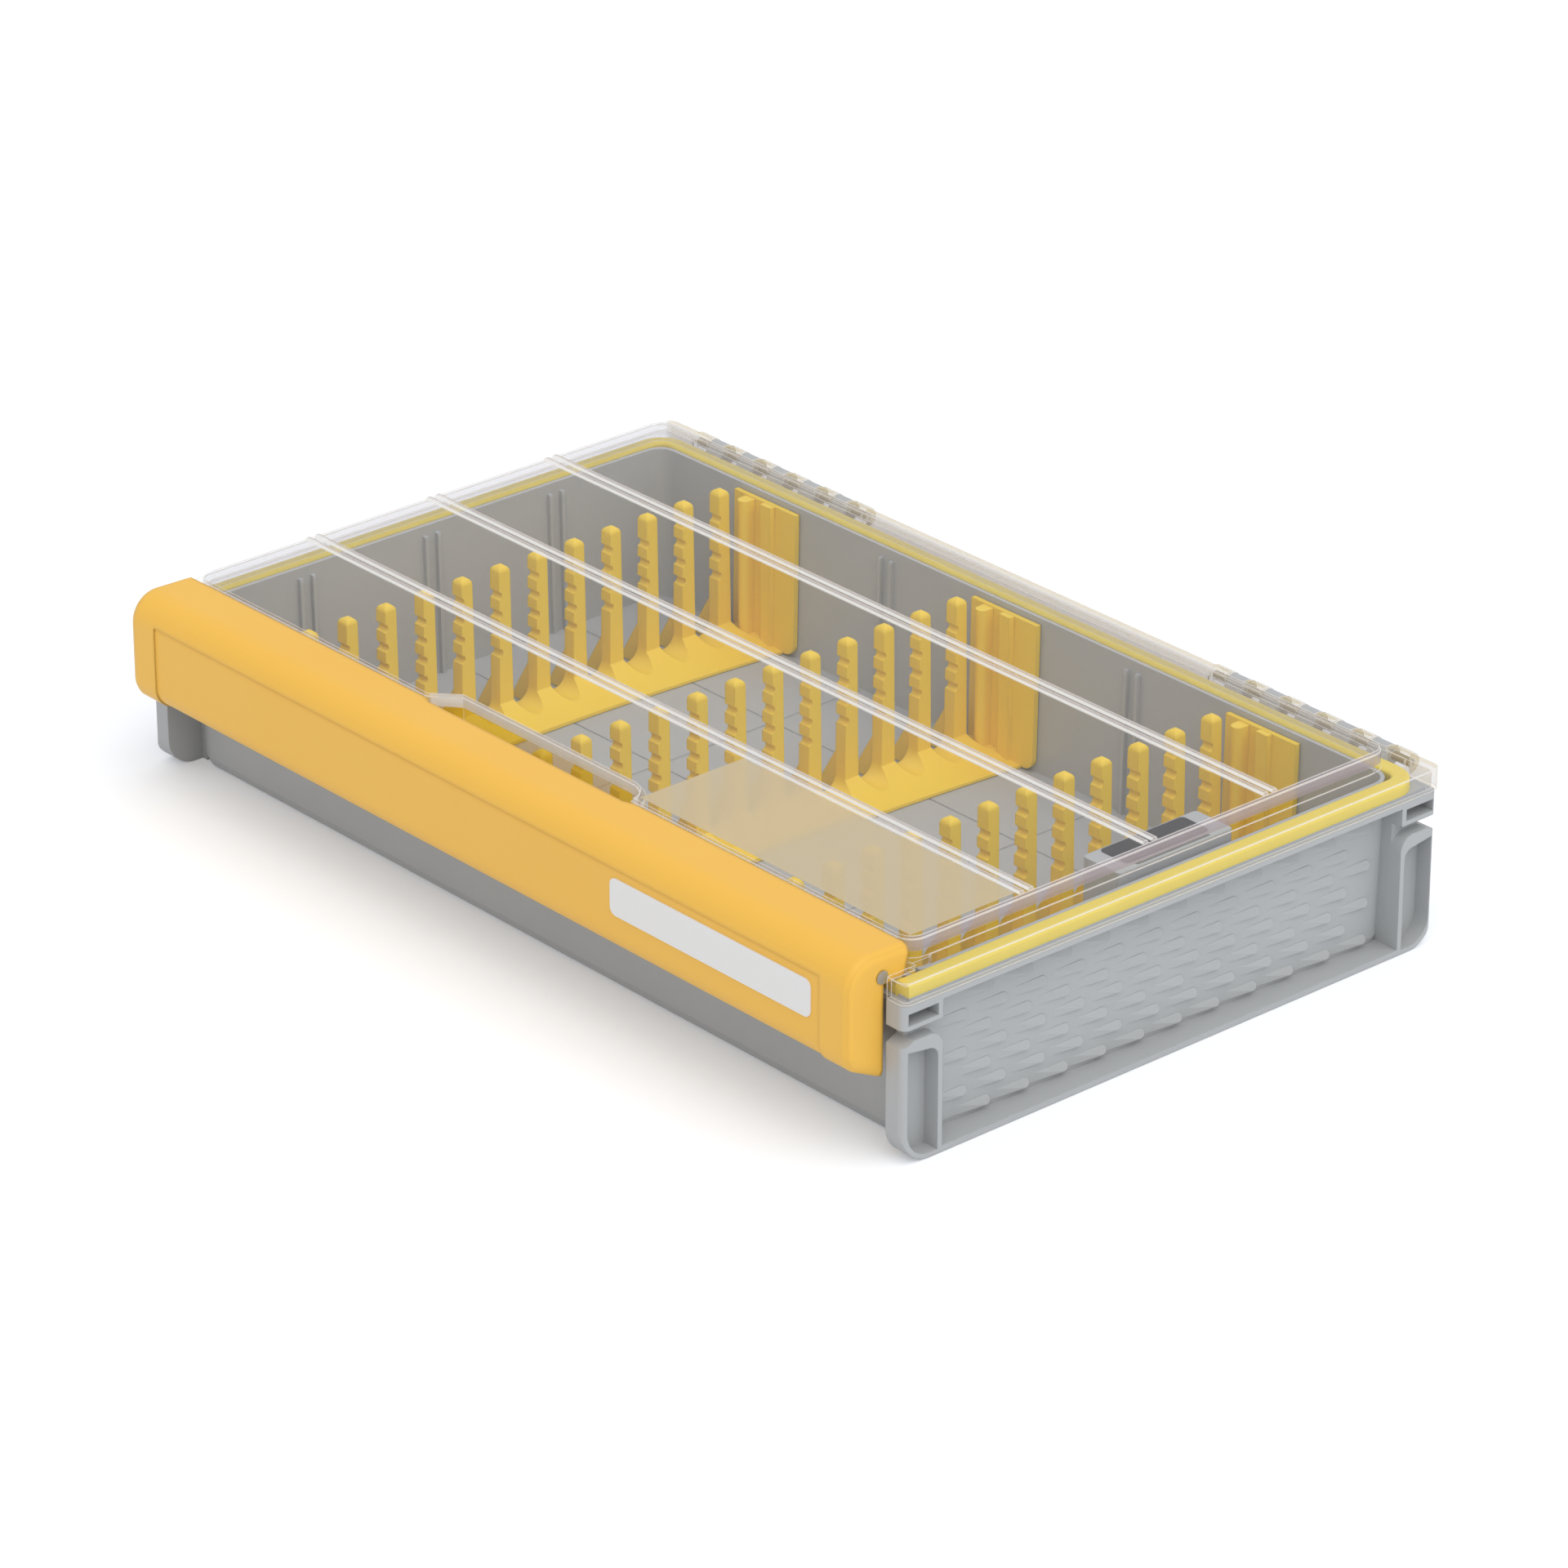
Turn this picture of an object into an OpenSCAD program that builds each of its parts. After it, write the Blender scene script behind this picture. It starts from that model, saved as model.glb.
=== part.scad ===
// A long, shallow box for spinnerbaits: a grey tray with a yellow seal, a clear hinged lid, a full
// width front latch, three lift-out racks with notched tines and a moisture holder.
// Millimetres. The origin is the bottom centre of the tray, X runs along the length, the latch is
// at the front (-Y), the hinge at the rear (+Y), and Z is up.

/* [Tray] */
// Length of the tray rim over its two ends
rim_len = 357.2; // [330:1:380]
// Distance from the centre line to the rear edge of the rim, and to the faces of the corner columns
rim_y = 108; // [104:1:120]
// Height of the top face of the rim plate
rim_top = 51.2; // [46:0.5:58]
// Thickness of the rim plate
rim_t = 1.8; // [1.4:0.1:2.6]
// Thickness of the floor
floor_t = 2.2; // [1.6:0.1:3]
// Thickness of the upright walls
wall_t = 2.4; // [1.8:0.1:3]
// How much further in each wall stands at the floor than at the top
draft = 1; // [0.4:0.1:2]
// Plan radius of the corners of the tray's inside
tray_corner_r = 6; // [3:0.5:9]
// How far the rim plate overhangs the end walls
rim_overhang = 7.4; // [6:0.2:9]
// Height of the thin inner lip above the rim plate
lip_h = 4.3; // [3.6:0.1:4.6]
// Thickness of the thin inner lip
lip_t = 1.4; // [1:0.1:1.8]
// Height of the seal's seat above the rim plate at the ends and the rear
seat_h = 1; // [0.8:0.1:1.4]

/* [Seal] */
// Width of the seal
seal_w = 5.8; // [5:0.2:6]
// Height of the seal above its seat
seal_h = 4.1; // [3.6:0.1:4.2]
// Height of the low front run of the seal
seal_front_h = 2.3; // [1.8:0.1:2.4]

/* [Lid] */
// Height of the underside of the lid's flange
flange_z = 56.9; // [56.8:0.1:58]
// Thickness of the flange
flange_t = 1.6; // [1.2:0.1:2]
// Height of the lid's top face
lid_top = 65.3; // [64:0.1:70]
// Thickness of the raised panel and its walls
panel_t = 2; // [1.5:0.1:2.4]
// Thickness of the skirt round the lid
skirt_t = 1.8; // [1.4:0.1:2.2]
// Pitch of the three double stacking ribs
rib_pitch = 49.2; // [44:0.5:52]
// Height of the stacking ribs
rib_h = 0.8; // [0.5:0.1:1.2]

/* [Hinge] */
// Pitch of the lid's hinge knuckles
knuckle_pitch = 15.4; // [14:0.2:16]
// Number of lid knuckles in each group
knuckles = 6; // [3:1:6]
// Radius of the lid's knuckles
lid_knuckle_r = 3.4; // [3.2:0.1:3.4]
// Radius of the hinge pins
hinge_pin_r = 1.4; // [1.2:0.1:1.6]
// Running clearance of a pin in what turns on it
run_clear = 0.06; // [0.04:0.01:0.1]

/* [Latch] */
// Thickness of the latch shell
shell_t = 2.4; // [1.8:0.1:2.8]
// How far the latch face stands in front of the tray's corner columns
latch_proud = 13.8; // [13:0.2:16]
// Radius of the latch's upper bend
upper_bend_r = 10; // [8:0.5:10.5]
// Radius of the latch's lower bend
lower_bend_r = 8; // [6:0.5:10]
// Radius of the latch's pivot pins
latch_pin_r = 1.4; // [1.2:0.1:1.6]

/* [Racks] */
// Distance from the centre of one rack to the next
rack_pitch = 115.3; // [110:0.5:118]
// Number of free tines on a rack
tines = 12; // [8:2:12]
// Pitch of the tines
tine_pitch = 15.44; // [13:0.1:15.6]
// Thickness of a tine near its tip
tine_t = 4.5; // [3:0.1:4.8]
// Height of the tips of the tines
tine_top = 57.3; // [50:0.5:57.5]
// Number of notches on a tine
notches = 4; // [2:1:5]
// Pitch of the notches
notch_pitch = 6.7; // [5:0.1:8]
// Radius of a notch
notch_r = 1.5; // [0.8:0.1:1.8]

/* [Holder] */
// Length of the moisture holder, across the box
holder_len = 46.5; // [40:0.5:60]
// Width of the moisture holder
holder_w = 16; // [14:0.2:16]
// Height of the top of the holder's cover
holder_top = 57; // [50:0.5:57.5]
// Thickness of the holder's walls
holder_t = 1.5; // [1.2:0.1:2]

/* [Hidden] */

$fn = 48;
hull_facets = 32;
bend_steps = 9;
over = 1;
sliver = 0.05;
seat_clear = 0.3;
move_clear = 0.5;

tray_grey = "#8c8b88";
seal_yellow = "#ebd95a";
latch_yellow = "#e9b44c";
rack_yellow = "#d9b048";
pin_steel = "#a9a39b";
holder_grey = "#a0a0a0";

// Tray sizes that follow from the rim
rim_x = rim_len / 2;
rim_z = rim_top - rim_t;
wall_out_x = rim_x - rim_overhang;
wall_in_x = wall_out_x - wall_t;
wall_setback = 9;
wall_out_y = rim_y - wall_setback;
wall_in_y = wall_out_y - wall_t;
rim_front_setback = 2.2;
rim_front_y = rim_y - rim_front_setback;
lip_top = rim_top + lip_h;
front_lip_h = 2.3;
front_lip_top = rim_top + front_lip_h;
seat_top = rim_top + seat_h;
seat_rear_margin = 0.7;
relief_in = 2.6;
underside_edge = 3;
underside_edge_share = 0.3;
underside_rise = 4;
underside_rise_share = 0.3;

// Seal
lip_gap = 0.25;
seal_in_x = wall_in_x + lip_t + lip_gap;
seal_in_y = wall_in_y + lip_t + lip_gap;
seal_out_x = seal_in_x + seal_w;
seal_out_y = seal_in_y + seal_w;
seal_bend_in_r = 4;
seal_bend_x = seal_in_x - seal_bend_in_r;
seal_bend_y = seal_in_y - seal_bend_in_r;
seal_round = 1.2;
riser_w = 1.1;
riser_gap = 0.35;

// Hinge axis and the knuckles along it
hinge_y = rim_y + 2.2 * rim_t / 1.8;
hinge_z = rim_top + lid_knuckle_r;
tray_knuckle_r = lid_knuckle_r - seat_clear;
knuckle_end_in = 17.1;
first_knuckle_x = rim_x - knuckle_end_in - (knuckles - 1) * knuckle_pitch;
knuckle_side_gap = 0.25;
knuckle_w = knuckle_pitch / 2 - knuckle_side_gap;
knuckle_group_len = (knuckles - 1) * knuckle_pitch + knuckle_w;
group_mid_x = first_knuckle_x + (knuckles - 1) * knuckle_pitch / 2;
bore_fit = 0.02;

// Lid sizes that follow from the tray
skirt_gap = 0.2;
skirt_z = rim_top + skirt_gap;
lid_rear_overhang = 1.4;
lid_front_setback = 0.2;
lid_rear_y = rim_y + lid_rear_overhang;
lid_front_y = rim_y - lid_front_setback;
lid_corner_r = 3;
seal_front_y = rim_front_y - skirt_t - seat_clear;
panel_x = wall_in_x - 0.4 * lip_t / 1.4;
panel_y = wall_in_y + 0.4 * lip_t / 1.4;
panel_edge = 1;
rib_mid_y = -1.6;
front_flange_z = front_lip_top + 0.6 * front_lip_h / 2.3;
front_flange_t = 1.5;
cheek_out_x = wall_out_x - 1.1 * wall_t / 2.4;
cheek_t = 2.5;
cheek_in_x = cheek_out_x - cheek_t;
front_part_x = cheek_in_x - move_clear;
slot_out_x = cheek_out_x + 0.8 * cheek_t / 2.5;
seat_front_x = cheek_out_x + riser_gap + riser_w;
lug_w = 7.5;
lug_r = 3;

// Finger notch in the front edge of the raised panel
notch_depth = 7.6;
notch_left_x = -51.5;
notch_left_in_x = -42.7;
notch_right_x = 45.7;
notch_right_r = 8.4;

// Latch: the pivot and the profile of its shell
pivot_y = rim_y + 1;
pivot_z = 58.4;
latch_face_y = rim_y + latch_proud;
latch_top = 65.8;
tip_y = panel_y + 1.9;
tip_drop = 0.3;
tip_t = 1.4;
latch_bottom_clear = 0.4;
latch_bottom_y = rim_y + latch_bottom_clear;
lower_bend_z = 37;
lower_bend_turn = 64;
lug_to_cheek = 0.5;
end_round = 2.5;
recess_depth = 0.6;
recess_end_in = 10.1;
recess_x = cheek_in_x - recess_end_in;
recess_top = 58;
cheek_heel_z = 57.5;
cheek_step_y = panel_y + 4.1;
cheek_step_z = 56.3;
cheek_knee_z = 55.9;
catch_w = 50;
catch_t = 1.6;
catch_low_z = 45;
catch_high_z = 48.9;
catch_clear = 0.35;
catch_shares = [-0.716, -0.286, 0.286, 0.716];
catch_xs = [for (s = catch_shares) s * cheek_in_x];
pin_head_r = 2.1;
pin_head_t = 0.5;
dip_x = 46;
dip_depth = 1.4;
dip_slope = 6;

// Label plate on the latch
label_end_in = 3.7;
label_len = 88.6;
label_x1 = recess_x - label_end_in;
label_x0 = label_x1 - label_len;
label_z0 = 42.9;
label_z1 = 55.1;
label_t = 0.45;
label_r = 2.5;

// Corner columns and the ledges under the end walls
column_in_y = 93;
column_back_x = 172.7;
column_wall = 1.8;
column_corner_r = 10;
column_lower_top = 37.8;
groove_low = 39.7;
groove_high = 43.4;
groove_in = 4;
groove_back_x = 174.4;
pocket_low = 1.5;
pocket_high = 36.3;
pocket_slant = 1.1;
pocket_top_r = 3.5;
column_top_r = 5;
upper_pocket_low = 44.9;
upper_pocket_high = 48.7;
ledge_t = 2;
rim_corner_r = 2.5;

// Divider ribs on the inner walls and the fine grooves in the floor
divider_gap = 5.1;
divider_t = 1.5;
divider_proud = 1.4;
divider_top = 52;
divider_round = 1.2;
divider_end_ys = [-53, -1.8, 50.4];
divider_side_xs = [-56.3, 58.4];
floor_groove_w = 0.8;
floor_groove_d = 0.3;
floor_groove_ys = [-41, 7.8, 56.5];
floor_groove_xs = [-67.3, 49.2];

// Racks: sizes across the rack are measured from the middle of its end plates
rack_mid_x = 1.2;
rack_floor = floor_t + 0.2;
plate_w = 30.4;
plate_t = 1.8;
plate_low = 3;
plate_high = 53.5;
front_plate_high = 50.2;
plate_corner_r = 4;
rack_gap = 0.3;
tine_back = -14;
tine_depth = 4.6;
tine_foot_extra = 0.6;
tine_front = tine_back + tine_depth;
gap_low = 5.5;
foot_edge_mid = 5.5;
foot_edge_end = 10;
foot_edge_t = 1;
foot_root_z = 10;
foot_curve_r = 34;
gusset_out = 10;
gusset_high = 20;
gusset_w = 3;
gusset_edge_t = 1;
notch_first = 7.5;
notch_shift = 2.4;
notch_bite = 1.1;
post_x = -7;
post_w = 4.4;
post_proud = 4;
post_top = 53.1;
post_top_front = 49.8;
ridge_w = 5;
ridge_proud = 1.2;

// Moisture holder
holder_wall_gap = 3.6;
holder_x1 = wall_in_x - holder_wall_gap;
holder_x0 = holder_x1 - holder_w;
holder_y0 = -11.5;
holder_y1 = holder_y0 + holder_len;
holder_low = floor_t + 0.2;
cover_h = 9;
cover_skirt_t = 1;
cover_z = holder_top - cover_h;
holder_corner_r = 1.5;
holder_slot_w = 1.4;
holder_slot_len = 30;
holder_slot_in = 1.9;
holder_label_w = 11.6;
holder_label_len = 34;
holder_label_t = 0.3;
pack_clear = 0.8;
pack_r = 3;

function arc(cy, cz, r, from, to) =
    [for (k = [0 : bend_steps]) let (a = from + (to - from) * k / bend_steps)
        [cy + r * cos(a), cz + r * sin(a)]];

// The latch's outline in the YZ plane, set in by a distance all round, from its tip to its bottom
function latch_line(inset) = concat(
    arc(-latch_face_y + upper_bend_r, latch_top - upper_bend_r, upper_bend_r - inset, 90, 180),
    arc(-latch_face_y + lower_bend_r, lower_bend_z, lower_bend_r - inset, 180, 180 + lower_bend_turn),
    [[-latch_bottom_y, latch_bottom_z(inset)]]);

function latch_bottom_z(inset) =
    lower_bend_z - (lower_bend_r - inset) * sin(lower_bend_turn)
    - (latch_face_y - lower_bend_r - latch_bottom_y + (lower_bend_r - inset) * cos(lower_bend_turn))
      / tan(lower_bend_turn);

// Draws a YZ outline and makes it a bar of the given length along X, about the middle
module along_x(len) {
    rotate([90, 0, 90])
        linear_extrude(height = len, center = true)
            children();
}

// The same between two places along X
module from_x_to(x0, x1) {
    translate([(x0 + x1) / 2, 0, 0])
        along_x(x1 - x0)
            children();
}

// Draws an XZ outline and makes it a bar along Y from one place to another
module from_y_to(y0, y1) {
    translate([0, y1, 0])
        rotate([90, 0, 0])
            linear_extrude(height = y1 - y0)
                children();
}

module block(x0, x1, y0, y1, z0, z1) {
    translate([x0, y0, z0])
        cube([x1 - x0, y1 - y0, z1 - z0]);
}

module soft_rect(w, d, r) {
    square([w - 2 * r, d], center = true);
    square([w, d - 2 * r], center = true);
    for (sx = [-1, 1], sy = [-1, 1])
        translate([sx * (w / 2 - r), sy * (d / 2 - r)])
            circle(r = r);
}

module plate_at(z, half_x, half_y, r) {
    translate([0, 0, z])
        linear_extrude(height = sliver)
            soft_rect(2 * half_x, 2 * half_y, r, $fn = hull_facets);
}

module both_ends() {
    children();
    mirror([1, 0, 0])
        children();
}

module four_corners() {
    both_ends() {
        children();
        mirror([0, 1, 0])
            children();
    }
}

// Tray

module tray_outside() {
    r = tray_corner_r + wall_t;
    hull() {
        plate_at(0, wall_out_x - draft - underside_edge, wall_out_y - draft - underside_edge, r);
        plate_at(underside_rise * underside_rise_share,
                 wall_out_x - draft - underside_edge * underside_edge_share,
                 wall_out_y - draft - underside_edge * underside_edge_share, r);
        plate_at(underside_rise, wall_out_x - draft, wall_out_y - draft, r);
        plate_at(rim_top - sliver, wall_out_x, wall_out_y, r);
    }
}

module tray_inside() {
    hull() {
        plate_at(floor_t, wall_in_x - draft, wall_in_y - draft, tray_corner_r);
        plate_at(rim_top, wall_in_x, wall_in_y, tray_corner_r);
        plate_at(lip_top + over, wall_in_x, wall_in_y, tray_corner_r);
    }
}

module rim_and_lip() {
    block(-rim_x, rim_x, -rim_front_y, rim_y, rim_z, rim_top);
    translate([0, 0, rim_z])
        linear_extrude(height = lip_top - rim_z)
            soft_rect(2 * (wall_in_x + lip_t), 2 * (wall_in_y + lip_t), tray_corner_r + lip_t);
    block(-seal_out_x, seal_out_x, -seal_in_y, seal_out_y + seat_rear_margin, rim_z, seat_top);
    both_ends()
        block(seat_front_x, seal_out_x, -seal_out_y, -seal_in_y + over, rim_z, seat_top);
    both_ends()
        block(slot_out_x, rim_x, -rim_y, -rim_front_y + over, rim_z, rim_top);
}

// What the front of the rim lacks: the seat, and the top of the lip
module front_relief() {
    x = seat_front_x;
    block(-x, x, -rim_y, -wall_in_y - lip_t, rim_top, lip_top + over);
    block(-x, x, -rim_y, -wall_in_y + relief_in, front_lip_top, lip_top + over);
}

// Rounds the four upright corner edges of the tray
module rim_corner_cuts() {
    r = rim_corner_r;
    four_corners()
        translate([rim_x - r, rim_y - r, -over])
            linear_extrude(height = rim_top + 2 * over)
                difference() {
                    square([r + over, r + over]);
                    circle(r = r);
                }
}

module column_outline() {
    r = column_corner_r;
    difference() {
        union() {
            translate([column_in_y, 0])
                square([rim_y - r - column_in_y, rim_z]);
            translate([column_in_y, r])
                square([rim_y - column_in_y, rim_z - r]);
            intersection() {
                translate([rim_y - r, r])
                    circle(r = r);
                translate([column_in_y, 0])
                    square([rim_y - column_in_y, rim_z]);
            }
        }
        polygon([[rim_y + over, column_lower_top], [rim_y, column_lower_top],
                 [rim_y - groove_in, groove_low], [rim_y - groove_in, groove_high],
                 [rim_y + over, groove_high]]);
    }
}

module pocket_outline() {
    y0 = column_in_y + column_wall;
    y1 = rim_y - column_wall;
    r = column_corner_r - column_wall;
    intersection() {
        union() {
            translate([y0, pocket_low])
                square([y1 - r - y0, pocket_high]);
            translate([y0, pocket_low + r])
                square([y1 - y0, pocket_high]);
            translate([y1 - r, pocket_low + r])
                circle(r = r);
        }
        polygon(concat([[y0, 0], [y1, 0], [y1, pocket_high]],
                       arc(y0 + pocket_top_r, pocket_high - pocket_slant - pocket_top_r,
                           pocket_top_r, 90, 180)));
    }
}

// A hollow corner column, open to the end of the box, with a groove and a small upper pocket
module corner_column() {
    difference() {
        from_x_to(slot_out_x, rim_x)
            column_outline();
        from_x_to(column_back_x, rim_x + over)
            pocket_outline();
        block(column_back_x, rim_x + over, column_in_y + column_wall, rim_y - column_wall,
              upper_pocket_low, upper_pocket_high);
        block(groove_back_x, rim_x + over, column_in_y - over, rim_y + over, groove_low, groove_high);
        from_x_to(groove_back_x, rim_x + over)
            difference() {
                translate([column_in_y - over, groove_low - column_top_r])
                    square([column_top_r + over, column_top_r + over]);
                translate([column_in_y + column_top_r, groove_low - column_top_r])
                    circle(r = column_top_r);
            }
    }
    block(wall_out_x - draft - 0.7 * wall_t, slot_out_x + sliver, column_in_y,
          column_in_y + column_wall, 0, rim_z);
}

module end_ledge() {
    block(wall_out_x - draft - underside_edge - over, rim_x, -column_in_y - over, column_in_y + over,
          0, ledge_t);
}

module tray_knuckle_outline() {
    root_y = seal_out_y + seat_rear_margin - seat_clear;
    translate([hinge_y, hinge_z])
        circle(r = tray_knuckle_r);
    polygon([[root_y, rim_z], [root_y, seat_top], [hinge_y - tray_knuckle_r * cos(60), hinge_z
             + tray_knuckle_r * sin(60)], [hinge_y + tray_knuckle_r, hinge_z],
             [hinge_y + tray_knuckle_r * cos(50), hinge_z - tray_knuckle_r * sin(50)], [rim_y, rim_z]]);
}

module tray_knuckles() {
    both_ends()
        for (k = [0 : knuckles - 2])
            translate([first_knuckle_x + (k + 0.5) * knuckle_pitch, 0, 0])
                along_x(knuckle_w)
                    tray_knuckle_outline();
}

module hinge_bores(r) {
    both_ends()
        translate([group_mid_x, hinge_y, hinge_z])
            rotate([0, 90, 0])
                cylinder(r = r, h = knuckle_group_len + 2 * over, center = true);
}

// A pair of upright ribs on an inner wall, drawn for the rear wall; they hold a divider
module divider_pair(wall) {
    for (side = [-1, 1])
        from_x_to(side * divider_gap / 2 - divider_t / 2, side * divider_gap / 2 + divider_t / 2)
            polygon([[wall - draft - divider_proud, floor_t - sliver],
                     [wall - draft * floor_t / rim_top - divider_proud, divider_top - divider_round],
                     [wall - divider_round, divider_top], [wall + over, divider_top],
                     [wall + over - draft, floor_t - sliver]]);
}

module divider_ribs() {
    for (x = divider_side_xs, turn = [0, 180])
        rotate([0, 0, turn])
            translate([turn == 0 ? x : -x, 0, 0])
                divider_pair(wall_in_y);
    for (y = divider_end_ys, turn = [90, -90])
        rotate([0, 0, turn])
            translate([turn == 90 ? y : -y, 0, 0])
                divider_pair(wall_in_x);
}

module floor_grooves() {
    for (y = floor_groove_ys)
        block(-wall_in_x + 2 * draft, wall_in_x - 2 * draft, y, y + floor_groove_w,
              floor_t - floor_groove_d, floor_t + over);
    for (x = floor_groove_xs)
        block(x, x + floor_groove_w, -wall_in_y + 2 * draft, wall_in_y - 2 * draft,
              floor_t - floor_groove_d, floor_t + over);
}

module tray() {
    color(tray_grey) {
        difference() {
            union() {
                tray_outside();
                rim_and_lip();
                four_corners()
                    corner_column();
                both_ends()
                    end_ledge();
                tray_knuckles();
            }
            tray_inside();
            front_relief();
            floor_grooves();
            rim_corner_cuts();
            hinge_bores(hinge_pin_r + bore_fit);
        }
        divider_ribs();
    }
}

// Seal: a round-topped ring on its seat, with a lower flat run along the front

module seal_outline() {
    r = seal_round;
    square([seal_w, seal_h - r]);
    translate([r, 0])
        square([seal_w - 2 * r, seal_h]);
    for (y = [r, seal_w - r])
        translate([y, seal_h - r])
            circle(r = r);
}

module seal() {
    color(seal_yellow) {
        translate([0, 0, seat_top]) {
            translate([0, seal_in_y, 0])
                along_x(2 * seal_bend_x)
                    seal_outline();
            both_ends() {
                translate([seal_in_x, 0, 0])
                    from_y_to(-seal_out_y, seal_bend_y)
                        seal_outline();
                translate([seal_bend_x, seal_bend_y, 0])
                    rotate_extrude(angle = 90)
                        translate([seal_bend_in_r, 0])
                            seal_outline();
            }
        }
        block(-seat_front_x, seat_front_x, -seal_front_y, -seal_in_y, rim_top, rim_top + seal_front_h);
        both_ends()
            block(seat_front_x - riser_w, seat_front_x, -seal_out_y, -seal_in_y,
                  rim_top, seat_top + seal_h - seal_round);
    }
}

// Hinge pins

module hinge_pin(side) {
    color(pin_steel)
        translate([side * group_mid_x, hinge_y, hinge_z])
            rotate([0, 90, 0])
                cylinder(r = hinge_pin_r, h = knuckle_group_len, center = true);
}

// Lid

module notch_outline(grow) {
    back = -panel_y + notch_depth + grow;
    r = notch_right_r + grow;
    difference() {
        polygon([[notch_left_x - grow, -panel_y - over], [notch_left_x - grow, -panel_y],
                 [notch_left_in_x - grow, back], [notch_right_x + grow, back],
                 [notch_right_x + grow, -panel_y - over]]);
        translate([notch_right_x + grow - r, back - r])
            difference() {
                square([r + over, r + over]);
                circle(r = r);
            }
    }
}

module panel_outline(inset) {
    difference() {
        soft_rect(2 * (panel_x - inset), 2 * (panel_y - inset), tray_corner_r - inset);
        notch_outline(inset);
    }
}

module lid_outline(inset) {
    mid_y = (lid_rear_y - lid_front_y) / 2;
    translate([0, mid_y])
        soft_rect(2 * (rim_x - inset), lid_rear_y + lid_front_y - 2 * inset, lid_corner_r - inset);
}

// Everything of the lid's high flange and skirt that the front leaves out between its corner blocks
module front_gap(low, high) {
    block(-slot_out_x, slot_out_x, -lid_front_y - over, -panel_y, low, high);
    block(notch_left_x, notch_right_x, -panel_y - over, -panel_y + panel_t + over, low, high);
}

module raised_panel() {
    difference() {
        union() {
            translate([0, 0, flange_z])
                linear_extrude(height = lid_top - flange_z - panel_edge)
                    panel_outline(0);
            translate([0, 0, flange_z])
                linear_extrude(height = lid_top - flange_z)
                    panel_outline(panel_edge / 2);
        }
        translate([0, 0, flange_z - over])
            linear_extrude(height = lid_top - flange_z - panel_t + over)
                panel_outline(panel_t);
    }
}

module high_flange_and_skirt() {
    difference() {
        translate([0, 0, skirt_z])
            linear_extrude(height = flange_z + flange_t - skirt_z)
                lid_outline(0);
        translate([0, 0, skirt_z - over])
            linear_extrude(height = flange_z - skirt_z + over)
                lid_outline(skirt_t);
        translate([0, 0, flange_z - over])
            linear_extrude(height = flange_t + 2 * over)
                soft_rect(2 * (panel_x - panel_t), 2 * (panel_y - panel_t), tray_corner_r - panel_t);
        front_gap(skirt_z - over, lid_top);
    }
}

module front_flange_and_skirt() {
    translate([0, 0, front_flange_z])
        linear_extrude(height = flange_z + flange_t - front_flange_z)
            intersection() {
                difference() {
                    panel_outline(0);
                    panel_outline(panel_t);
                }
                translate([-front_part_x, -panel_y])
                    square([2 * front_part_x, notch_depth + panel_t]);
            }
    translate([0, 0, front_flange_z])
        linear_extrude(height = front_flange_t) {
            translate([-front_part_x, -rim_front_y])
                square([2 * front_part_x, rim_front_y - panel_y + sliver]);
            notch_outline(panel_t / 2);
        }
    block(-front_part_x, front_part_x, -rim_front_y, -rim_front_y + skirt_t,
          skirt_z, front_flange_z + front_flange_t);
}

module pivot_lug_outline() {
    translate([-pivot_y, pivot_z])
        circle(r = lug_r);
    polygon([[-rim_front_y + skirt_t, front_flange_z], [-rim_front_y + skirt_t, pivot_z],
             [-pivot_y + lug_r * cos(50), pivot_z + lug_r * sin(50)],
             [-pivot_y - lug_r * cos(40), pivot_z - lug_r * sin(40)],
             [-rim_front_y, skirt_z + skirt_t]]);
}

module pivot_lugs() {
    both_ends()
        from_x_to(front_part_x - lug_w, front_part_x)
            pivot_lug_outline();
}

module lid_knuckles() {
    both_ends()
        for (k = [0 : knuckles - 1])
            translate([first_knuckle_x + k * knuckle_pitch, hinge_y, hinge_z])
                rotate([0, 90, 0])
                    cylinder(r = lid_knuckle_r, h = knuckle_w, center = true);
}

module knuckle_windows() {
    w = knuckle_w + 2 * knuckle_side_gap;
    both_ends()
        for (k = [0 : knuckles - 2])
            translate([first_knuckle_x + (k + 0.5) * knuckle_pitch, 0, 0])
                block(-w / 2, w / 2, hinge_y - lid_knuckle_r, lid_rear_y + over,
                      skirt_z - over, flange_z + flange_t + over);
}

// A double stacking rib, drawn as two humps side by side
module stacking_rib_outline() {
    half = 3 * rib_h / 0.8;
    for (s = [-1, 1])
        polygon([[s * half, -sliver], [s * half, 0], [s * 0.85 * half, rib_h], [s * 0.38 * half, rib_h],
                 [s * 0.22 * half, 0], [s * 0.22 * half, -sliver]]);
}

module stacking_ribs() {
    for (k = [-1, 0, 1])
        translate([0, k * rib_pitch + rib_mid_y, lid_top])
            along_x(2 * (panel_x - panel_edge))
                stacking_rib_outline();
}

module pivot_bores(r) {
    both_ends()
        translate([cheek_in_x - lug_w - lug_to_cheek - over, -pivot_y, pivot_z])
            rotate([0, 90, 0])
                cylinder(r = r, h = lug_w + lug_to_cheek + cheek_t + 2 * over);
}

module lid() {
    color([0.9, 0.9, 0.92, 0.35])
        difference() {
            union() {
                difference() {
                    union() {
                        raised_panel();
                        high_flange_and_skirt();
                        front_flange_and_skirt();
                    }
                    knuckle_windows();
                }
                stacking_ribs();
                pivot_lugs();
                lid_knuckles();
            }
            hinge_bores(hinge_pin_r + run_clear);
            pivot_bores(latch_pin_r + run_clear);
        }
}

// Latch

module latch_profile(inset) {
    polygon(concat([[-tip_y, latch_top - tip_drop - inset]], latch_line(inset)));
}

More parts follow.
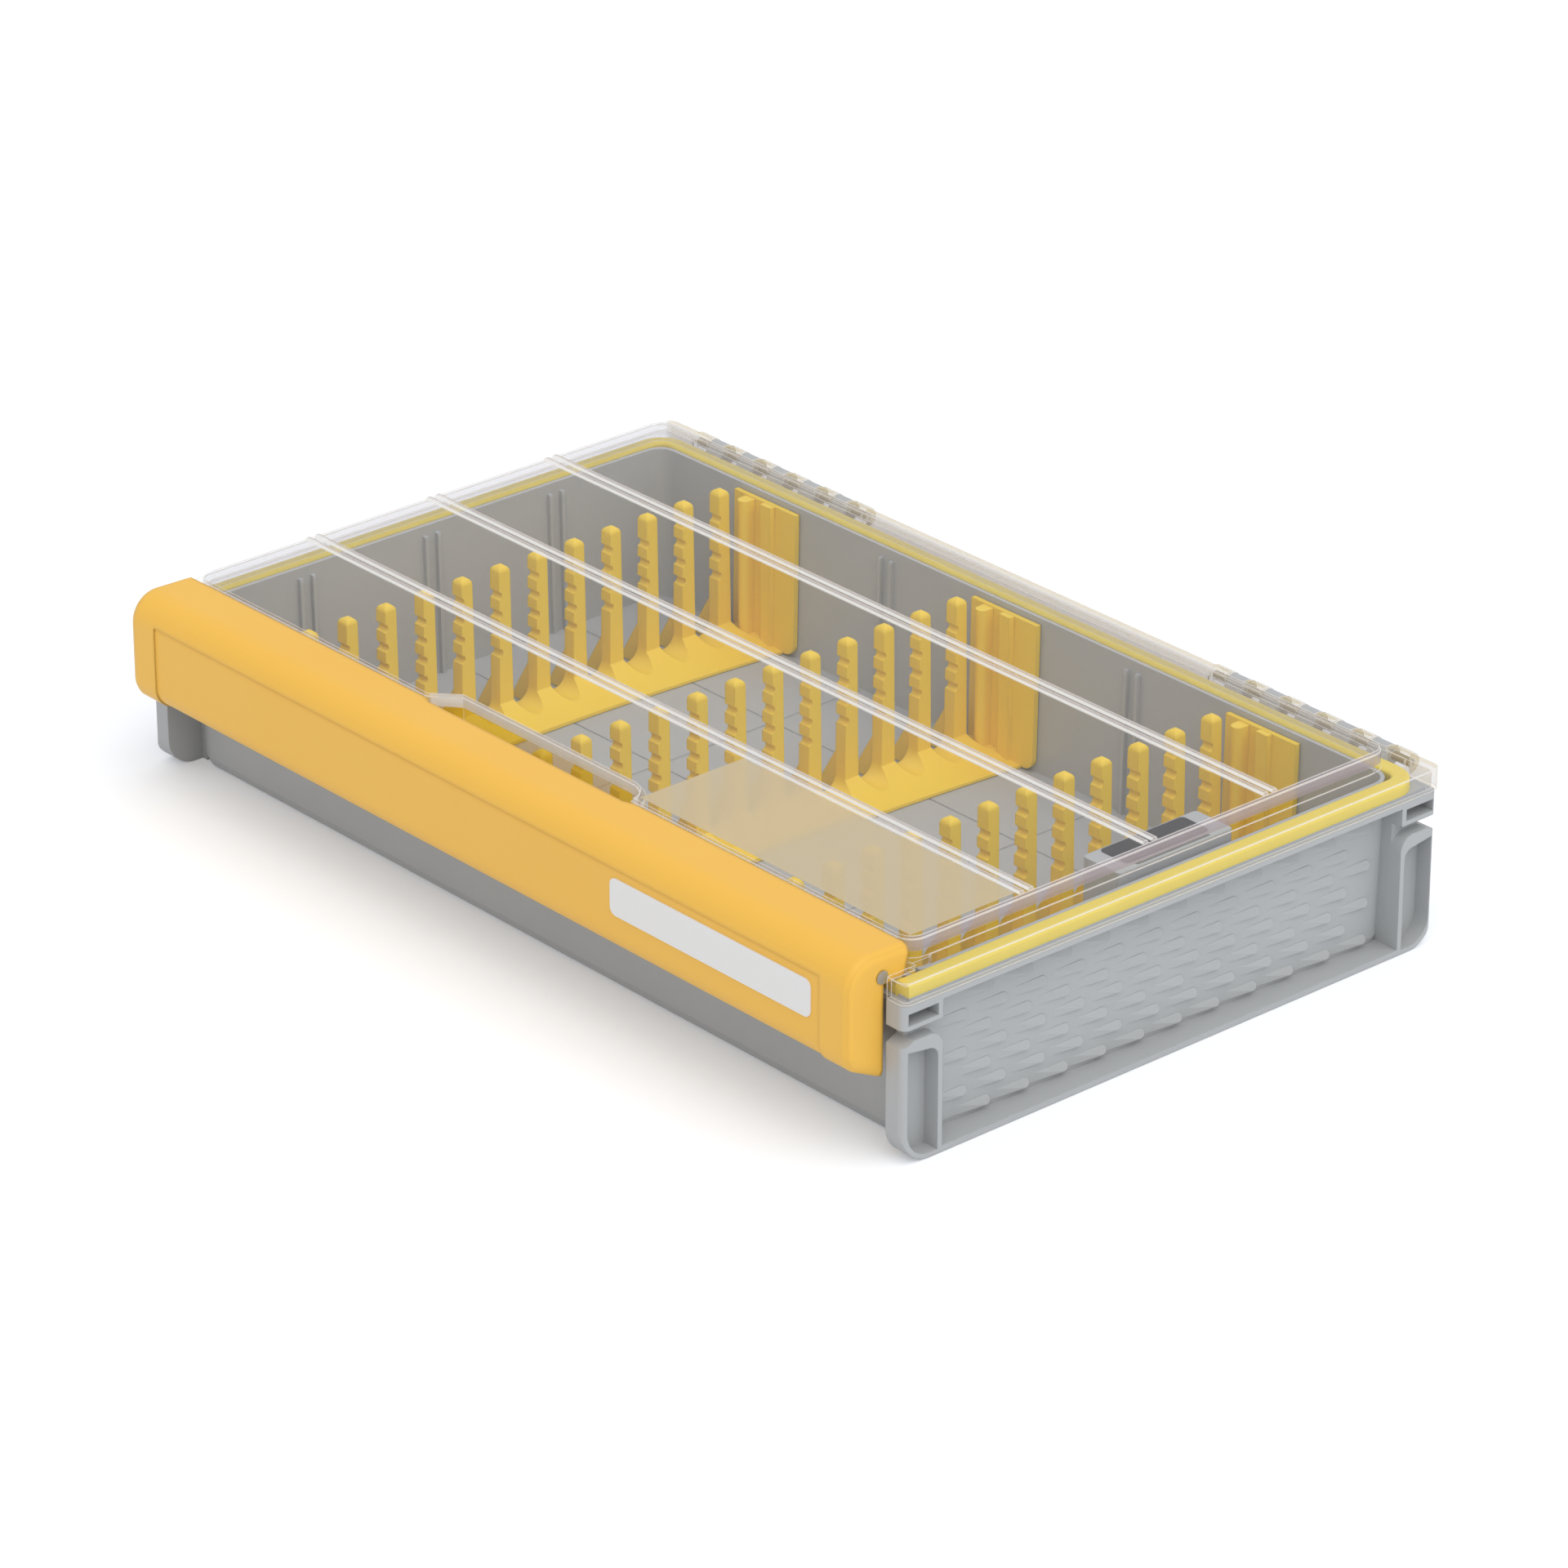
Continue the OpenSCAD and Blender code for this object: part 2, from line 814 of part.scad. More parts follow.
// The solid that the latch is hollowed from, with its two ends rounded
module latch_outside() {
    hull() {
        along_x(2 * (cheek_out_x - end_round))
            latch_profile(0);
        along_x(2 * (cheek_out_x - end_round * (1 - cos(45))))
            latch_profile(end_round * (1 - cos(45)));
        along_x(2 * cheek_out_x)
            latch_profile(end_round);
    }
}

// The space behind the latch's shell and between its cheeks
module latch_inside() {
    along_x(2 * cheek_in_x)
        polygon(concat([[-tip_y + over, latch_top - tip_drop - tip_t],
                        [-tip_y - 2 * shell_t, latch_top - shell_t]],
                       latch_line(shell_t),
                       [[-column_in_y, latch_bottom_z(shell_t)]]));
}

// What the cheeks lack at the rear, so that they clear the lid and the rim
module cheek_relief() {
    along_x(2 * (cheek_out_x + over))
        polygon([[-column_in_y, cheek_heel_z], [-tip_y, cheek_heel_z], [-cheek_step_y, cheek_step_z],
                 [-latch_bottom_y, cheek_knee_z],
                 [-latch_bottom_y, latch_bottom_z(0) - over], [-column_in_y, latch_bottom_z(0) - over]]);
}

module face_recess() {
    along_x(2 * recess_x)
        difference() {
            translate([-latch_face_y - over, latch_bottom_z(0) - over])
                square([latch_face_y - latch_bottom_y + over, recess_top - latch_bottom_z(0) + over]);
            latch_profile(recess_depth);
        }
}

module finger_dip() {
    translate([0, 0, pivot_z])
        linear_extrude(height = latch_top - pivot_z + over)
            polygon([[-dip_x - dip_slope, -tip_y + over], [-dip_x, -tip_y - dip_depth],
                     [dip_x, -tip_y - dip_depth], [dip_x + dip_slope, -tip_y + over]]);
}

// A catch web that snaps in front of the rim's edge, with a side rib at each end
module catch(x) {
    web_y = rim_front_y + catch_clear + catch_t;
    rib_t = catch_t;
    from_x_to(x - catch_w / 2, x + catch_w / 2)
        polygon([[-web_y, latch_top - shell_t], [-web_y + catch_t, latch_top - shell_t],
                 [-web_y + catch_t, catch_low_z], [-web_y, catch_low_z]]);
    for (side = [-1, 1])
        translate([x + side * (catch_w - rib_t) / 2, 0, 0])
            along_x(rib_t)
                polygon([[-web_y, catch_low_z], [-web_y, latch_top - shell_t],
                         [-latch_face_y + upper_bend_r / 2, latch_top - upper_bend_r / 2],
                         [-latch_face_y + shell_t / 2, latch_top - upper_bend_r],
                         [-latch_face_y + shell_t / 2, catch_high_z], [-web_y, catch_low_z]]);
}

module latch() {
    color(latch_yellow)
        difference() {
            union() {
                difference() {
                    latch_outside();
                    latch_inside();
                }
                for (x = catch_xs)
                    catch(x);
            }
            cheek_relief();
            face_recess();
            finger_dip();
            pivot_bores(latch_pin_r + bore_fit);
        }
}

module latch_label() {
    w = label_x1 - label_x0;
    h = label_z1 - label_z0;
    color("#dcdbd9")
        translate([(label_x0 + label_x1) / 2, -latch_face_y + recess_depth, (label_z0 + label_z1) / 2])
            rotate([90, 0, 0])
                linear_extrude(height = label_t)
                    soft_rect(w, h, label_r);
}

module latch_pin(side) {
    inner_x = cheek_in_x - lug_to_cheek - lug_w;
    color(pin_steel)
        rotate([0, 0, side > 0 ? 0 : 180])
            translate([inner_x, side > 0 ? -pivot_y : pivot_y, pivot_z])
                rotate([0, 90, 0]) {
                    cylinder(r = latch_pin_r, h = cheek_out_x - inner_x + sliver);
                    translate([0, 0, cheek_out_x - inner_x])
                        cylinder(r = pin_head_r, h = pin_head_t);
                }
}

// Racks

// The comb seen along the box: a base strip with round-bottomed gaps, and notched tines
module comb_outline() {
    gap_r = (tine_pitch - tine_t - 2 * tine_foot_extra) / 2;
    base_high = gap_low + gap_r;
    reach = wall_in_y - draft - rack_gap - plate_t / 2;
    difference() {
        translate([-reach, rack_floor])
            square([2 * reach, base_high - rack_floor]);
        for (k = [-tines / 2 : tines / 2])
            translate([k * tine_pitch, base_high])
                circle(r = gap_r);
    }
    for (k = [0 : tines - 1])
        translate([(k - (tines - 1) / 2) * tine_pitch, 0])
            tine_outline(base_high, k % 2 == 0 ? 0 : notch_shift);
}

module tine_outline(low, shift) {
    half = tine_t / 2;
    difference() {
        union() {
            polygon([[-half - tine_foot_extra, low - over], [-half, tine_top - half],
                     [half, tine_top - half], [half + tine_foot_extra, low - over]]);
            translate([0, tine_top - half])
                circle(r = half);
        }
        for (n = [0 : notches - 1])
            translate([-half - notch_r + notch_bite, tine_top - notch_first - shift - n * notch_pitch])
                circle(r = notch_r);
    }
}

// The rack seen from its end: the tines and the foot that curves down to its thin front edge
module rack_side_outline() {
    half = tine_depth / 2;
    foot_z = rack_floor + foot_edge_t;
    difference() {
        union() {
            translate([tine_back, rack_floor])
                square([tine_depth, tine_top - half - rack_floor]);
            translate([tine_back + half, tine_top - half])
                circle(r = half);
            translate([tine_front - sliver, rack_floor])
                square([foot_edge_end - tine_front + sliver, foot_root_z - rack_floor]);
        }
        intersection() {
            translate([foot_edge_end, foot_z + foot_curve_r])
                circle(r = foot_curve_r);
            translate([tine_front, rack_floor])
                square([foot_curve_r, tine_top]);
        }
    }
}

module gussets() {
    intersection() {
        from_x_to(tine_back - gusset_out - over, tine_back + over)
            for (k = [0 : tines - 1])
                translate([(k - (tines - 1) / 2) * tine_pitch - gusset_w / 2, rack_floor])
                    square([gusset_w, gusset_high]);
        from_y_to(-wall_in_y, wall_in_y)
            polygon([[tine_back + sliver, rack_floor], [tine_back + sliver, gusset_high],
                     [tine_back - gusset_out, rack_floor + gusset_edge_t],
                     [tine_back - gusset_out, rack_floor]]);
    }
}

// The foot's front edge bows in between the end plates
module foot_edge_cut() {
    reach = wall_in_y - draft;
    bow = foot_edge_end - foot_edge_mid;
    r = (reach * reach + bow * bow) / (2 * bow);
    translate([foot_edge_mid + r, 0, rack_floor - over])
        cylinder(r = r, h = foot_root_z);
}

module plate_face(high) {
    r = plate_corner_r;
    translate([-plate_w / 2, plate_low + r])
        square([plate_w, high - plate_low - r]);
    translate([-plate_w / 2 + r, plate_low])
        square([plate_w - 2 * r, high - plate_low]);
    for (s = [-1, 1])
        translate([s * (plate_w / 2 - r), plate_low + r])
            circle(r = r);
}

// An end plate that lies along the drafted wall, with its half post and its middle ridge
module end_plate(high, post_high) {
    wall_low = wall_in_y - draft - rack_gap;
    wall_high = wall_in_y - rack_gap;
    intersection() {
        from_y_to(wall_low - 2 * plate_t, wall_high + over)
            plate_face(high);
        from_x_to(-plate_w, plate_w)
            polygon([[wall_low - plate_t, 0], [wall_low, 0], [wall_high, rim_top], [wall_high, lip_top],
                     [wall_high - plate_t, lip_top], [wall_high - plate_t, rim_top]]);
    }
    block(post_x - post_w / 2, post_x + post_w / 2, wall_low - plate_t - post_proud + post_w / 2,
          wall_low - plate_t / 2, plate_low, post_high);
    translate([post_x, wall_low - plate_t - post_proud + post_w / 2, plate_low])
        cylinder(r = post_w / 2, h = post_high - plate_low);
    block(0, ridge_w, wall_low - plate_t - ridge_proud, wall_low - plate_t / 2, plate_low, high);
}

module rack(place) {
    color(rack_yellow)
        translate([rack_mid_x + place * rack_pitch, 0, 0]) {
            difference() {
                intersection() {
                    from_x_to(tine_back - over, foot_edge_end)
                        comb_outline();
                    from_y_to(-wall_in_y, wall_in_y)
                        rack_side_outline();
                }
                foot_edge_cut();
            }
            gussets();
            end_plate(plate_high, post_top);
            mirror([0, 1, 0])
                end_plate(front_plate_high, post_top_front);
        }
}

// Moisture holder

module holder_block(inset, z0, z1) {
    translate([(holder_x0 + holder_x1) / 2, (holder_y0 + holder_y1) / 2, z0])
        linear_extrude(height = z1 - z0)
            soft_rect(holder_w - 2 * inset, holder_len - 2 * inset, holder_corner_r);
}

module holder_body() {
    color(holder_grey)
        difference() {
            union() {
                holder_block(0, holder_low, cover_z - sliver);
                holder_block(cover_skirt_t + bore_fit, holder_low, cover_z + cover_h / 2);
            }
            holder_block(holder_t + cover_skirt_t, holder_low + holder_t, cover_z + cover_h);
        }
}

module holder_cover() {
    color(holder_grey)
        difference() {
            holder_block(0, cover_z, holder_top);
            holder_block(cover_skirt_t, cover_z - over, holder_top - holder_t);
            translate([holder_x1 - holder_slot_in, (holder_y0 + holder_y1) / 2, holder_top])
                linear_extrude(height = 4 * holder_t, center = true)
                    soft_rect(holder_slot_w, holder_slot_len, holder_slot_w / 2 - bore_fit);
        }
}

module desiccant_pack() {
    inset = holder_t + cover_skirt_t + pack_clear;
    color("#e9e6de")
        translate([(holder_x0 + holder_x1) / 2, (holder_y0 + holder_y1) / 2, holder_low + holder_t])
            linear_extrude(height = cover_z - holder_low - holder_t)
                soft_rect(holder_w - 2 * inset, holder_len - 2 * inset, pack_r);
}

module holder_label() {
    color("#3a3a3a")
        translate([holder_x0 + holder_t / 2 + holder_label_w / 2, (holder_y0 + holder_y1) / 2, holder_top])
            linear_extrude(height = holder_label_t)
                soft_rect(holder_label_w, holder_label_len, holder_corner_r);
}

tray();
seal();
hinge_pin(-1);  // hinge_pin_left
hinge_pin(1);  // hinge_pin_right
lid();
latch();
latch_label();
latch_pin(-1);  // latch_pin_left
latch_pin(1);  // latch_pin_right
rack(-1);  // rack_left
rack(0);  // rack_middle
rack(1);  // rack_right
holder_body();
holder_cover();
desiccant_pack();
holder_label();
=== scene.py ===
# %% [markdown]
# # A spinnerbait box
# The box is a long, shallow case: a grey tray, a clear lid, and a yellow latch along the whole front.
# Yellow racks with notched tines stand inside and show through the lid. Its hard parts come from the
# frame at their true size, so this lesson is mostly about finishes, light and the fine surface detail.

import math

import bmesh
import bpy
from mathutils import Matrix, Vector


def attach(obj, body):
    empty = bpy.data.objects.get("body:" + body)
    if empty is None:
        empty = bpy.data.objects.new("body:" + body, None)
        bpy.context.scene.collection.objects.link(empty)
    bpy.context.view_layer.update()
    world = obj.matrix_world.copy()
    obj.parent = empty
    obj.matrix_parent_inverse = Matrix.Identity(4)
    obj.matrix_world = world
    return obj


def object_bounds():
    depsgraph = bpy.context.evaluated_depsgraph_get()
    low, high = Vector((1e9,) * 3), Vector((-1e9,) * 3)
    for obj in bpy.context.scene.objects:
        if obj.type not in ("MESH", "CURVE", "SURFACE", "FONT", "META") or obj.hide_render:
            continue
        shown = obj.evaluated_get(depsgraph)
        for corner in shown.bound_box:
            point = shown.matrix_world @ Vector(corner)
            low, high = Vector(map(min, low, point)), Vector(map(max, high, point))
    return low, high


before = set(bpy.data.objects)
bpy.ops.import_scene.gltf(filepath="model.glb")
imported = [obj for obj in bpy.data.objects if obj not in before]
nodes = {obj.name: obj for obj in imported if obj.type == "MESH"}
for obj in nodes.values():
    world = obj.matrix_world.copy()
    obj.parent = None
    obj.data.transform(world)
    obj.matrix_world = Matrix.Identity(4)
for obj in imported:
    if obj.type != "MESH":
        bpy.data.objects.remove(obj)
box_low, box_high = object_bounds()
print("pieces in the frame:", len(nodes))

# %% [markdown]
# Everything here is in metres, and the drawing of the box is in millimetres, so one name converts them.

# %% Units
MM = 0.001


def point_mm(x, y, z):
    return Vector((x * MM, y * MM, z * MM))


print("box, mm:", [round(v / MM, 1) for v in box_high - box_low])

# %% [markdown]
# The camera stands where the photographer stood: far away, with a long lens, so that the long edges
# stay nearly parallel. Its direction is given as an azimuth round the box and an elevation above it.

# %% Camera
CAMERA_PLACE = point_mm(1467.1, -1280.1, 963.0)
CAMERA_AZIMUTH = math.radians(48.826)
CAMERA_ELEVATION = math.radians(25.782)
CAMERA_LENS = 159.85
CAMERA_SENSOR = 36.0

camera = bpy.data.objects.new("camera", bpy.data.cameras.new("camera"))
camera.data.lens = CAMERA_LENS
camera.data.sensor_width = CAMERA_SENSOR
camera.data.clip_start = 0.05
camera.data.clip_end = 50
camera.location = CAMERA_PLACE
away = Vector((math.sin(CAMERA_AZIMUTH) * math.cos(CAMERA_ELEVATION),
               -math.cos(CAMERA_AZIMUTH) * math.cos(CAMERA_ELEVATION),
               math.sin(CAMERA_ELEVATION)))
camera.rotation_mode = "QUATERNION"
camera.rotation_quaternion = (-away).to_track_quat("-Z", "Y")
bpy.context.scene.collection.objects.link(camera)
bpy.context.scene.camera = camera
bpy.context.scene.view_settings.view_transform = "Standard"
print("camera distance, m:", round(CAMERA_PLACE.length, 3))

# %% [markdown]
# Colours are picked as sRGB hex values, the way a painter or a web page names them. The renderer
# counts light linearly, so one function turns hex into linear numbers.
#
# A second small function adds a node to a material, sets its values and makes its links. A value that
# is a socket of another node becomes a link, and anything else is typed into the socket.

# %% Colour and node helpers


def colour(code):
    parts = [int(code[k:k + 2], 16) / 255 for k in (1, 3, 5)]
    linear = [c / 12.92 if c <= 0.04045 else ((c + 0.055) / 1.055) ** 2.4 for c in parts]
    return (*linear, 1.0)


def add(tree, kind, settings=None, **sockets):
    node = tree.nodes.new(kind)
    for name, value in (settings or {}).items():
        setattr(node, name, value)
    for name, value in sockets.items():
        key = int(name[1:]) if name[0] == "_" and name[1:].isdigit() else name.replace("_", " ")
        if isinstance(value, bpy.types.NodeSocket):
            tree.links.new(value, node.inputs[key])
        else:
            node.inputs[key].default_value = value
    return node


def new_material(name):
    material = bpy.data.materials.new(name)
    material.use_nodes = True
    material.node_tree.nodes.clear()
    return material, material.node_tree


def dress(node_names, material):
    for name in node_names:
        slots = nodes[name].data.materials
        if len(slots) == 0:
            slots.append(material)
        for slot in nodes[name].material_slots:
            slot.link = "OBJECT"
            slot.material = material


print("the tray's grey as linear numbers:", [round(c, 3) for c in colour("#B5B7B8")[:3]])

# %% [markdown]
# ## Floor and light
# The photograph is a plain catalogue shot: a white sweep, light from all round, and a broad soft lamp
# from above and to the right, which leaves the long front side in a mild shade. A pale world and one
# very soft sun give that. Both stay at a plain level, where a colour renders about as it is written.
#
# The floor and the world are lifted to full white only where they are looked at, straight or through
# the lid, so they don't wash out the shadows on the box.

# %% Floor, world and sun
FLOOR_SIZE = 40.0
FLOOR_DROP = 0.0002
FLOOR_LIFT = 0.21
WORLD_LEVEL = 0.7
SUN_LEVEL = 1.35
SUN_FROM = Vector((0.51, -0.12, 0.84))
SUN_SOFTNESS = math.radians(70)

floor_mesh = bpy.data.meshes.new("floor")
half_floor = FLOOR_SIZE / 2
floor_mesh.from_pydata([(-half_floor, -half_floor, 0), (half_floor, -half_floor, 0),
                        (half_floor, half_floor, 0), (-half_floor, half_floor, 0)],
                       [], [(0, 1, 2, 3)])
floor = bpy.data.objects.new("floor", floor_mesh)
floor.location.z = box_low.z - FLOOR_DROP
bpy.context.scene.collection.objects.link(floor)

sweep, tree = new_material("white paper sweep")
ray = add(tree, "ShaderNodeLightPath")
paper = add(tree, "ShaderNodeBsdfPrincipled", Base_Color=colour("#EFF2F7"), Roughness=0.9)
paper.inputs["Specular IOR Level"].default_value = 0.2
paper.inputs["Emission Color"].default_value = colour("#FFFFFF")
lift = add(tree, "ShaderNodeMath", {"operation": "MULTIPLY"}, _0=ray.outputs["Is Camera Ray"],
           _1=FLOOR_LIFT)
tree.links.new(lift.outputs[0], paper.inputs["Emission Strength"])
add(tree, "ShaderNodeOutputMaterial", Surface=paper.outputs[0])
floor_mesh.materials.append(sweep)

world = bpy.data.worlds.new("studio")
world.use_nodes = True
tree = world.node_tree
tree.nodes.clear()
ray = add(tree, "ShaderNodeLightPath")
seen = add(tree, "ShaderNodeMath", {"operation": "MAXIMUM"}, _0=ray.outputs["Is Camera Ray"],
           _1=ray.outputs["Is Transmission Ray"])
level = add(tree, "ShaderNodeMapRange", Value=seen.outputs[0], To_Min=WORLD_LEVEL, To_Max=1.0)
sky = add(tree, "ShaderNodeBackground", Color=colour("#FFFFFF"), Strength=level.outputs[0])
add(tree, "ShaderNodeOutputWorld", Surface=sky.outputs[0])
bpy.context.scene.world = world

sun = bpy.data.objects.new("soft lamp", bpy.data.lights.new("soft lamp", "SUN"))
sun.data.energy = SUN_LEVEL
sun.data.angle = SUN_SOFTNESS
sun.rotation_mode = "QUATERNION"
sun.rotation_quaternion = SUN_FROM.normalized().to_track_quat("Z", "Y")
bpy.context.scene.collection.objects.link(sun)
print("sun from:", [round(v, 2) for v in SUN_FROM.normalized()])

# %% [markdown]
# ## Moulded plastics
# The tray and the holder are grey, and the latch and the racks are tinted in two yellows. All came out
# of steel moulds, which leave a fine pebble on the skin: it spreads the light softly and takes the
# glitter off. Thick mouldings also sink and flow a little, so the colour and the gloss drift by a few
# percent over some centimetres. One function makes such a plastic from its two tints, its roughness,
# the size of its pebble, the length of its drift and the radius of its softened edges.

# %% Moulded plastic
PEBBLE_HEIGHT_SHARE = 0.06
PEBBLE_STRENGTH = 0.5
GLOSS_DRIFT = 0.05
PLASTIC_IOR = 1.49


def moulded_plastic(name, tint, deep_tint, roughness, pebble_mm, drift_mm, edge_mm):
    material, tree = new_material(name)
    place = add(tree, "ShaderNodeTexCoord").outputs["Object"]
    drift = add(tree, "ShaderNodeTexNoise", Vector=place, Scale=1 / (drift_mm * MM), Detail=3.0)
    pebble = add(tree, "ShaderNodeTexNoise", Vector=place, Scale=1 / (pebble_mm * MM), Detail=2.0)
    tone = add(tree, "ShaderNodeMix", {"data_type": "RGBA"}, _0=drift.outputs["Fac"],
               _6=colour(tint), _7=colour(deep_tint))
    gloss = add(tree, "ShaderNodeMapRange", Value=drift.outputs["Fac"],
                To_Min=roughness - GLOSS_DRIFT, To_Max=roughness + GLOSS_DRIFT)
    edge = add(tree, "ShaderNodeBevel", {"samples": 4}, Radius=edge_mm * MM)
    skin = add(tree, "ShaderNodeBump", Height=pebble.outputs["Fac"], Strength=PEBBLE_STRENGTH,
               Distance=pebble_mm * MM * PEBBLE_HEIGHT_SHARE, Normal=edge.outputs[0])
    plastic = add(tree, "ShaderNodeBsdfPrincipled", Base_Color=tone.outputs[2],
                  Roughness=gloss.outputs[0], IOR=PLASTIC_IOR, Normal=skin.outputs[0])
    add(tree, "ShaderNodeOutputMaterial", Surface=plastic.outputs[0])
    return material


tray_plastic = moulded_plastic("grey polypropylene, spark-eroded", "#B5B7B8", "#AEB0B1",
                               roughness=0.5, pebble_mm=0.6, drift_mm=45, edge_mm=0.5)
latch_plastic = moulded_plastic("yellow ABS, fine satin mould", "#F2BE4E", "#EFB947",
                                roughness=0.42, pebble_mm=0.5, drift_mm=60, edge_mm=2.0)
rack_plastic = moulded_plastic("yellow polypropylene, satin mould", "#F8D53F", "#F5CE37",
                               roughness=0.4, pebble_mm=0.5, drift_mm=30, edge_mm=0.5)
holder_plastic = moulded_plastic("grey polypropylene, smooth mould", "#B6B8B9", "#AFB1B2",
                                 roughness=0.4, pebble_mm=0.6, drift_mm=30, edge_mm=0.4)
pad_plastic = moulded_plastic("grey polypropylene, crisp grip pads", "#B5B7B8", "#AEB0B1",
                              roughness=0.5, pebble_mm=0.6, drift_mm=45, edge_mm=0.08)
dress(["tray"], tray_plastic)
dress(["latch"], latch_plastic)
dress(["rack_left", "rack_middle", "rack_right"], rack_plastic)
dress(["holder_body", "holder_cover"], holder_plastic)
print("plastics:", [m.name for m in (tray_plastic, latch_plastic, rack_plastic, holder_plastic)])

# %% [markdown]
# The seal is a bright yellow thermoplastic rubber. It is soft enough to look a little lit from
# inside, so it gets some subsurface light, and it has no pebble.

# %% Seal rubber
BLOOM_MM = 12
GLOW_MM = (2, 1.6, 0.5)

rubber, tree = new_material("yellow thermoplastic rubber")
place = add(tree, "ShaderNodeTexCoord").outputs["Object"]
bloom = add(tree, "ShaderNodeTexNoise", Vector=place, Scale=1 / (BLOOM_MM * MM), Detail=2.0)
tone = add(tree, "ShaderNodeMix", {"data_type": "RGBA"}, _0=bloom.outputs["Fac"],
           _6=colour("#F1DA5E"), _7=colour("#ECD254"))
body = add(tree, "ShaderNodeBsdfPrincipled", Base_Color=tone.outputs[2], Roughness=0.45, IOR=1.5)
body.inputs["Subsurface Weight"].default_value = 0.2
body.inputs["Subsurface Radius"].default_value = [reach * MM for reach in GLOW_MM]
body.inputs["Subsurface Scale"].default_value = 1.0
add(tree, "ShaderNodeOutputMaterial", Surface=body.outputs[0])
dress(["seal"], rubber)
print("seal:", rubber.name)

# %% [markdown]
# The pins are short pieces of drawn stainless wire. Drawing leaves fine lines along the wire, too
# fine to see here, so only the soft metal gloss remains. A metal keeps the default IOR.

# %% Pin steel
WIRE_GRAIN_MM = 0.8

steel, tree = new_material("stainless wire, drawn")
place = add(tree, "ShaderNodeTexCoord").outputs["Object"]
lines = add(tree, "ShaderNodeTexNoise", Vector=place, Scale=1 / (WIRE_GRAIN_MM * MM), Detail=2.0)
gloss = add(tree, "ShaderNodeMapRange", Value=lines.outputs["Fac"], To_Min=0.25, To_Max=0.4)
metal = add(tree, "ShaderNodeBsdfPrincipled", Base_Color=colour("#B9B4AC"), Metallic=1.0,
            Roughness=gloss.outputs[0])
add(tree, "ShaderNodeOutputMaterial", Surface=metal.outputs[0])
dress(["hinge_pin_left", "hinge_pin_right", "latch_pin_left", "latch_pin_right"], steel)
print("pins:", steel.name)

# %% [markdown]
# The write-on label is a matt white film, the holder's label a dark one, and both are bare. The pack
# in the holder is a paper sachet.

# %% Labels and the moisture pack


def film(name, tint, roughness, fibre_mm, height_mm):
    material, tree = new_material(name)
    place = add(tree, "ShaderNodeTexCoord").outputs["Object"]
    fibre = add(tree, "ShaderNodeTexNoise", Vector=place, Scale=1 / (fibre_mm * MM), Detail=4.0)
    bump = add(tree, "ShaderNodeBump", Height=fibre.outputs["Fac"], Strength=0.4,
               Distance=height_mm * MM)
    tone = add(tree, "ShaderNodeMapRange", Value=fibre.outputs["Fac"], To_Min=0.96, To_Max=1.0)
    shade = add(tree, "ShaderNodeMix", {"data_type": "RGBA", "blend_type": "MULTIPLY"}, _0=1.0,
                _6=colour(tint), _7=tone.outputs[0])
    skin = add(tree, "ShaderNodeBsdfPrincipled", Base_Color=shade.outputs[2], Roughness=roughness,
               IOR=1.45, Normal=bump.outputs[0])
    add(tree, "ShaderNodeOutputMaterial", Surface=skin.outputs[0])
    return material


white_film = film("matt white write-on film", "#E9E8E6", roughness=0.55, fibre_mm=0.7, height_mm=0.02)
dark_film = film("dark film", "#2E2F31", roughness=0.35, fibre_mm=0.7, height_mm=0.01)
sachet = film("white sachet paper", "#EAE7DF", roughness=0.8, fibre_mm=1.2, height_mm=0.08)
dress(["latch_label"], white_film)
dress(["holder_label"], dark_film)
dress(["desiccant_pack"], sachet)
print("films:", [m.name for m in (white_film, dark_film, sachet)])

# %% [markdown]
# ## The clear lid
# The lid is clear polycarbonate, moulded about two millimetres thick and polished where one looks
# through it. Such a thin sheet hardly bends the view, so it is drawn as a see-through skin with a
# mirror coat that grows at flat angles. What one sees of clear plastic is where it gathers light:
# its edges, its ribs and its upright walls. That light is painted over those places, layer by layer,
# as painted highlights and painted shade. Each layer has a mask, a strength and a tint, and the
# masks come from the position on the lid, from the way the surface faces and, for the edges, from
# how much a small bevel would turn the surface.

# %% Lid masks
FROST_X_MM = (47.0, 166.0)
FROST_Y_MM = (-94.5, -54.0)
PANEL_TOP_MM = 65.3
WALL_BAND_MM = 60.7
HINGE_BAND_MM = 107.0
NOTCH_X_MM = (-52.5, 47.0)
NOTCH_Y_MM = (-96.0, -86.8)
NOTCH_RIM_MM = 61.0
NOTCH_RIM_SOFT_MM = 0.4
RIB_START_MM = (0.05, 0.1)
HINGE_SOFT_MM = 0.5
MASK_SOFT_MM = 0.1
UPRIGHT_FACING = 0.5
FACING_SOFT = 0.1
END_FACING = (0.4, 0.8)
RIB_FACING = (0.3, 0.6)
EDGE_BEVEL_MM = 0.6
EDGE_TURN = (0.985, 0.9)

clear, tree = new_material("clear polycarbonate, polished")
place = add(tree, "ShaderNodeTexCoord").outputs["Object"]
at = add(tree, "ShaderNodeSeparateXYZ", Vector=place).outputs
shape = add(tree, "ShaderNodeNewGeometry").outputs
turned = add(tree, "ShaderNodeVectorTransform",
             {"vector_type": "NORMAL", "convert_from": "WORLD", "convert_to": "OBJECT"},
             Vector=shape["Normal"])
faces = add(tree, "ShaderNodeSeparateXYZ", Vector=turned.outputs[0]).outputs


def ramp(value, low, high):
    return add(tree, "ShaderNodeMapRange", Value=value, From_Min=low, From_Max=high).outputs[0]


def both(first, second):
    return add(tree, "ShaderNodeMath", {"operation": "MULTIPLY"}, _0=first, _1=second).outputs[0]


